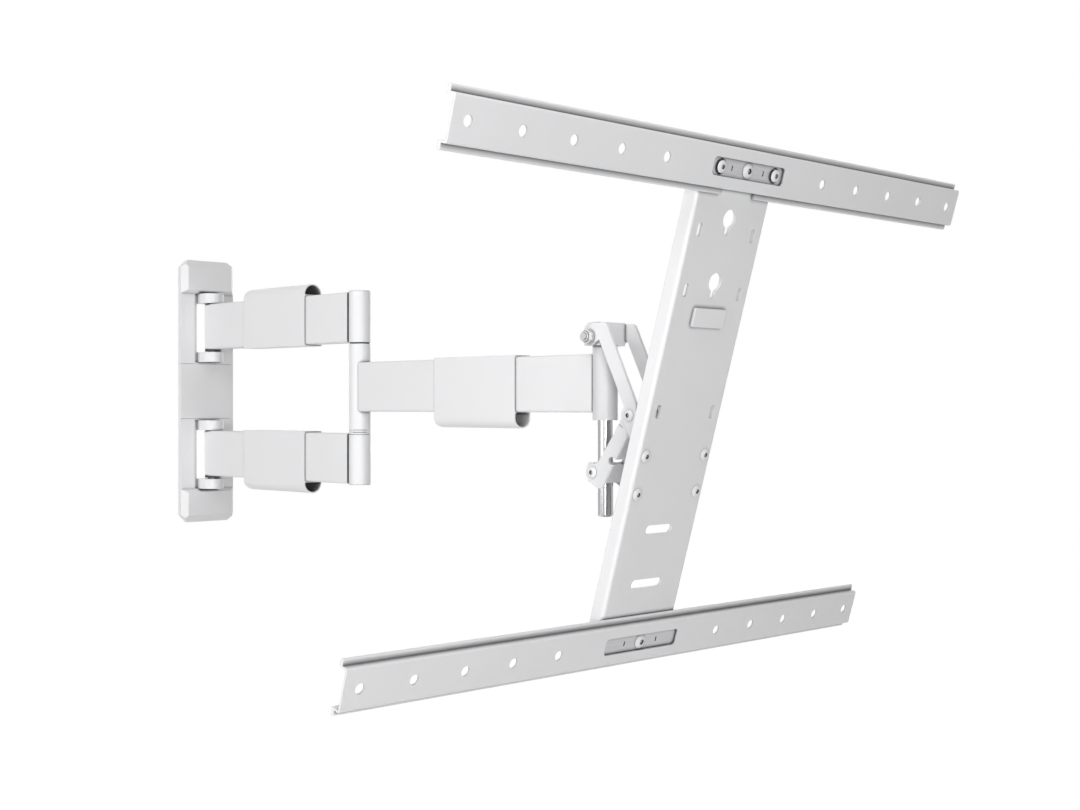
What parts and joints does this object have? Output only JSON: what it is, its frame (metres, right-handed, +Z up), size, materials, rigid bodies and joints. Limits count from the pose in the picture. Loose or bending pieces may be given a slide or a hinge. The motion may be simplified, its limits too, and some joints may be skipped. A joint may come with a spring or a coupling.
{
  "type": "swivel tv wall mount",
  "caption": "Full-motion TV wall mount: wall plate, twin-arm swing, forearm, swivelling and tilting head, and two slotted hole rails for the screen.",
  "frame": {"origin": "centre of the wall bolt pattern, on the back face of the wall plate", "axes": "+X along the wall, to the right as seen from the room; +Y into the wall; +Z up; the mount reaches out along -Y"},
  "size_m": [0.6294, 0.8057, 0.4257],
  "materials": {
    "white_steel": "fine white powder coat",
    "white_plastic": "smooth white moulding",
    "white_fasteners": "white coated screws and nuts",
    "bare_steel": "zinc plated",
    "polished_steel": "ground and polished",
    "dark_nylon": "black nylon",
    "pale_nylon": "white nylon"
  },
  "bodies": {
    "wall": {"wall_plate": "white_steel", "upper_cover": "white_plastic", "middle_cover": "white_plastic", "lower_cover": "white_plastic", "shoulder_pins": "bare_steel"},
    "arms": {"upper_arm": "white_steel", "lower_arm": "white_steel", "upper_cable_cover": "white_plastic", "lower_cable_cover": "white_plastic", "elbow_pin": "bare_steel", "elbow_caps": "white_plastic", "elbow_washers": "pale_nylon", "elbow_thrust_washer": "dark_nylon", "shoulder_bushings": "dark_nylon"},
    "forearm": {"forearm": "white_steel", "forearm_cable_cover": "white_plastic", "elbow_bushings": "dark_nylon", "head_bushings": "dark_nylon"},
    "head": {"post": "polished_steel", "post_washer": "dark_nylon", "post_block": "white_steel", "tilt_bolt": "bare_steel", "tilt_nut": "white_fasteners", "tilt_washers": "white_fasteners"},
    "tilt": {"left_bracket": "white_steel", "right_bracket": "white_steel", "middle_pivot_screws": "white_fasteners", "middle_pivot_nuts": "bare_steel", "screen_plate": "white_steel", "level_pad": "white_plastic", "bracket_screws": "white_fasteners", "bracket_nuts": "bare_steel", "top_rail": "white_steel", "bottom_rail": "white_steel", "top_strip": "bare_steel", "bottom_strip": "bare_steel", "rail_centre_screws": "white_fasteners", "rail_side_screws": "white_fasteners", "rail_nuts": "bare_steel"},
    "collar": {"collar": "white_steel", "collar_spacers": "bare_steel", "lower_pivot_screws": "white_fasteners"},
    "strut": {"strut": "white_steel"}
  },
  "joints": [
    {"name": "shoulder_swing", "type": "hinge", "parent": "wall", "child": "arms", "pos_m": [0, -0.0175, 0], "axis": [0, 0, 1], "range_deg": [-90, 90]},
    {"name": "elbow_swing", "type": "hinge", "parent": "arms", "child": "forearm", "pos_m": [0, -0.2907, 0], "axis": [0, 0, 1], "range_deg": [-167.86, 172.14]},
    {"name": "head_swivel", "type": "hinge", "parent": "forearm", "child": "head", "pos_m": [-0.0133, -0.64665, 0], "axis": [0, 0, 1], "range_deg": [-92.14, 87.86]},
    {"name": "screen_tilt", "type": "hinge", "parent": "head", "child": "tilt", "pos_m": [-0.0133, -0.64665, 0.04165], "axis": [1, 0, 0], "range_deg": [-14.4, 2]},
    {"name": "collar_slide", "type": "slide", "parent": "head", "child": "collar", "axis": [0, 0, 1], "range_m": [-0.00463, 0.03212]},
    {"name": "strut_turn", "type": "hinge", "parent": "collar", "child": "strut", "pos_m": [-0.0133, -0.64665, -0.07413], "axis": [1, 0, 0], "range_deg": [-3.25, 21.57]}
  ],
  "couplings": [
    {"joint": "collar_slide", "follows": "screen_tilt", "m_per_rad": -0.127},
    {"joint": "strut_turn", "follows": "screen_tilt", "ratio": -1.4774}
  ]
}
